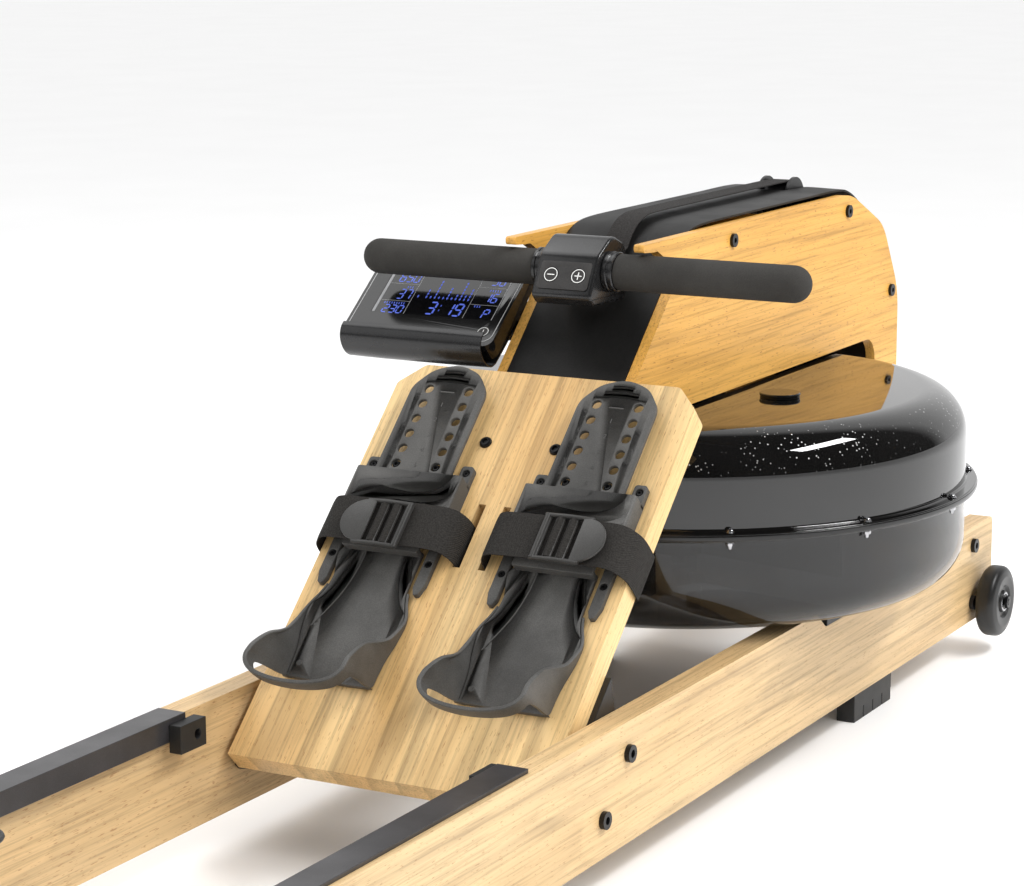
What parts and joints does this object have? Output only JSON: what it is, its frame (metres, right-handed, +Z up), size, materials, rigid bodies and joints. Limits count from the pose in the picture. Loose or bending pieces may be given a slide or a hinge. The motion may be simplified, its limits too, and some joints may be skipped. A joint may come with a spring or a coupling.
{
  "type": "rowing machine",
  "caption": "Wooden water-resistance rowing machine with twin rails, sliding seat, clear water tank, belt-drawn handle with control keys, tilting monitor and adjustable footrests.",
  "frame": {"origin": "on the floor, under the centre of the whole machine", "axes": "+X along the rails towards the tank and transport wheels, +Y to the seated rower's left, +Z up"},
  "size_m": [2.102, 0.5752, 0.516],
  "materials": {
    "rail_wood": "oiled straight-grained hardwood, satin",
    "panel_wood": "oiled hardwood with short dark flecks, satin",
    "board_wood": "oiled hardwood with strong figure, satin",
    "black_hardware": "black oxide, satin",
    "bright_steel": "bright",
    "black_steel": "black powder coat, satin",
    "track_metal": "black anodised, satin",
    "stop_rubber": "moulded, matte",
    "foot_rubber": "moulded, matte",
    "wheel_urethane": "smooth, satin",
    "cover_plastic": "fine pebble texture",
    "belt_webbing": "tight woven webbing",
    "strap_webbing": "twill webbing",
    "roller_plastic": "smooth, satin",
    "tank_clear": "smoked clear plastic, glossy",
    "tank_trim": "smooth, satin",
    "paddle_plastic": "moulded, satin",
    "grip_foam": "closed-cell foam, matte",
    "handle_plastic": "smooth, semi-gloss",
    "key_membrane": "matte membrane with plain symbols",
    "monitor_glass": "glossy screen",
    "monitor_plastic": "smooth, semi-gloss",
    "cradle_plastic": "smooth, satin",
    "seat_cover": "padded, fine-grained cover",
    "footrest_plastic": "fine spark-eroded texture",
    "buckle_plastic": "smooth"
  },
  "bodies": {
    "frame": {"belt_free": "belt_webbing", "belt_run": "belt_webbing", "board_mount": "black_steel", "buckles": "buckle_plastic", "cover": "cover_plastic", "cross_front": "rail_wood", "cross_rear": "rail_wood", "feet_front": "foot_rubber", "feet_rear": "foot_rubber", "footboard": "board_wood", "footboard_bracket": "black_steel", "footboard_screws": "black_hardware", "footrest_base_left": "footrest_plastic", "footrest_base_right": "footrest_plastic", "monitor_pivot": "black_steel", "panel_left": "panel_wood", "panel_right": "panel_wood", "panel_screws": "black_hardware", "panel_spacers": "black_steel", "rail_bolts": "black_hardware", "rail_left": "rail_wood", "rail_right": "rail_wood", "strap_left": "strap_webbing", "strap_right": "strap_webbing", "tank_base_ring": "tank_trim", "tank_cradle": "black_steel", "tank_lower_bowl": "tank_clear", "tank_screws": "bright_steel", "tank_upper_bowl": "tank_clear", "track_left": "track_metal", "track_right": "track_metal", "track_stops_front": "stop_rubber", "track_stops_rear": "stop_rubber", "wheel_axles": "black_hardware"},
    "wheel_left": {"wheel_left": "wheel_urethane"},
    "wheel_right": {"wheel_right": "wheel_urethane"},
    "seat": {"seat_carriage": "black_steel", "seat_axles": "bright_steel", "seat_pad": "seat_cover"},
    "seat_roller_front_left": {"seat_roller_front_left": "roller_plastic"},
    "seat_roller_front_right": {"seat_roller_front_right": "roller_plastic"},
    "seat_roller_rear_left": {"seat_roller_rear_left": "roller_plastic"},
    "seat_roller_rear_right": {"seat_roller_rear_right": "roller_plastic"},
    "handle": {"handle_bar": "bright_steel", "grip_left": "grip_foam", "grip_right": "grip_foam", "collars": "handle_plastic", "handle_module": "handle_plastic"},
    "key_minus": {"key_minus": "key_membrane"},
    "key_plus": {"key_plus": "key_membrane"},
    "guide_roller": {"guide_roller": "roller_plastic"},
    "belt_drum": {"belt_drum": "roller_plastic"},
    "impeller": {"impeller": "paddle_plastic"},
    "monitor": {"monitor_case": "monitor_plastic", "monitor_screen": "monitor_glass", "monitor_cradle": "cradle_plastic"},
    "power_button": {"power_button": "key_membrane"},
    "heel_left": {"heel_slide_left": "footrest_plastic"},
    "heel_right": {"heel_slide_right": "footrest_plastic"},
    "tank_plug": {"tank_plug": "tank_trim"}
  },
  "joints": [
    {"name": "seat_travel", "type": "slide", "parent": "frame", "child": "seat", "axis": [1, 0, 0], "range_m": [-0.13, 0.55]},
    {"name": "roller_front_left", "type": "hinge", "parent": "seat", "child": "seat_roller_front_left", "pos_m": [-0.616, 0.162, 0.163], "axis": [0, 1, 0], "range_deg": [-480, 1900]},
    {"name": "roller_front_right", "type": "hinge", "parent": "seat", "child": "seat_roller_front_right", "pos_m": [-0.616, -0.162, 0.163], "axis": [0, 1, 0], "range_deg": [-480, 1900]},
    {"name": "roller_rear_left", "type": "hinge", "parent": "seat", "child": "seat_roller_rear_left", "pos_m": [-0.766, 0.162, 0.163], "axis": [0, 1, 0], "range_deg": [-480, 1900]},
    {"name": "roller_rear_right", "type": "hinge", "parent": "seat", "child": "seat_roller_rear_right", "pos_m": [-0.766, -0.162, 0.163], "axis": [0, 1, 0], "range_deg": [-480, 1900]},
    {"name": "handle_pull", "type": "slide", "parent": "frame", "child": "handle", "axis": [-1, 0, 0], "range_m": [0, 1.2], "stiffness_N_per_m": 12, "springref_m": -0.3, "deforming": ["belt_free"]},
    {"name": "guide_roller_turn", "type": "hinge", "parent": "frame", "child": "guide_roller", "pos_m": [0.877, 0, 0.4925], "axis": [0, 1, 0], "range_deg": [-3940, 20]},
    {"name": "drum_turn", "type": "hinge", "parent": "frame", "child": "belt_drum", "pos_m": [0.643, 0, 0.369], "axis": [0, 0, 1], "range_deg": [-20, 2160]},
    {"name": "impeller_spin", "type": "hinge", "parent": "frame", "child": "impeller", "pos_m": [0.643, 0, 0.2], "axis": [0, 0, 1], "continuous": true},
    {"name": "wheel_turn_left", "type": "hinge", "parent": "frame", "child": "wheel_left", "pos_m": [1.013, 0.198, 0.0575], "axis": [0, 1, 0], "continuous": true},
    {"name": "wheel_turn_right", "type": "hinge", "parent": "frame", "child": "wheel_right", "pos_m": [1.013, -0.198, 0.0575], "axis": [0, 1, 0], "continuous": true},
    {"name": "heel_adjust_left", "type": "slide", "parent": "frame", "child": "heel_left", "axis": [-0.7169, 0, -0.6972], "range_m": [0, 0.082]},
    {"name": "heel_adjust_right", "type": "slide", "parent": "frame", "child": "heel_right", "axis": [-0.7169, 0, -0.6972], "range_m": [0, 0.082]},
    {"name": "monitor_tilt", "type": "hinge", "parent": "frame", "child": "monitor", "pos_m": [0.45696, 0.095, 0.40899], "axis": [0, 1, 0], "range_deg": [-10, 10]},
    {"name": "power_press", "type": "slide", "parent": "monitor", "child": "power_button", "axis": [0.6088, 0, -0.7934], "range_m": [0, 0.001], "stiffness_N_per_m": 300},
    {"name": "minus_press", "type": "slide", "parent": "handle", "child": "key_minus", "axis": [0.862, 0, -0.507], "range_m": [0, 0.001], "stiffness_N_per_m": 300},
    {"name": "plus_press", "type": "slide", "parent": "handle", "child": "key_plus", "axis": [0.862, 0, -0.507], "range_m": [0, 0.001], "stiffness_N_per_m": 300},
    {"name": "plug_lift", "type": "slide", "parent": "frame", "child": "tank_plug", "axis": [0, 0, 1], "range_m": [0, 0.03]}
  ],
  "couplings": [
    {"joint": "roller_front_left", "follows": "seat_travel", "rad_per_m": 58.824},
    {"joint": "roller_front_right", "follows": "seat_travel", "rad_per_m": 58.824},
    {"joint": "roller_rear_left", "follows": "seat_travel", "rad_per_m": 58.824},
    {"joint": "roller_rear_right", "follows": "seat_travel", "rad_per_m": 58.824},
    {"joint": "guide_roller_turn", "follows": "handle_pull", "rad_per_m": -57.143},
    {"joint": "drum_turn", "follows": "handle_pull", "rad_per_m": 31.25}
  ]
}
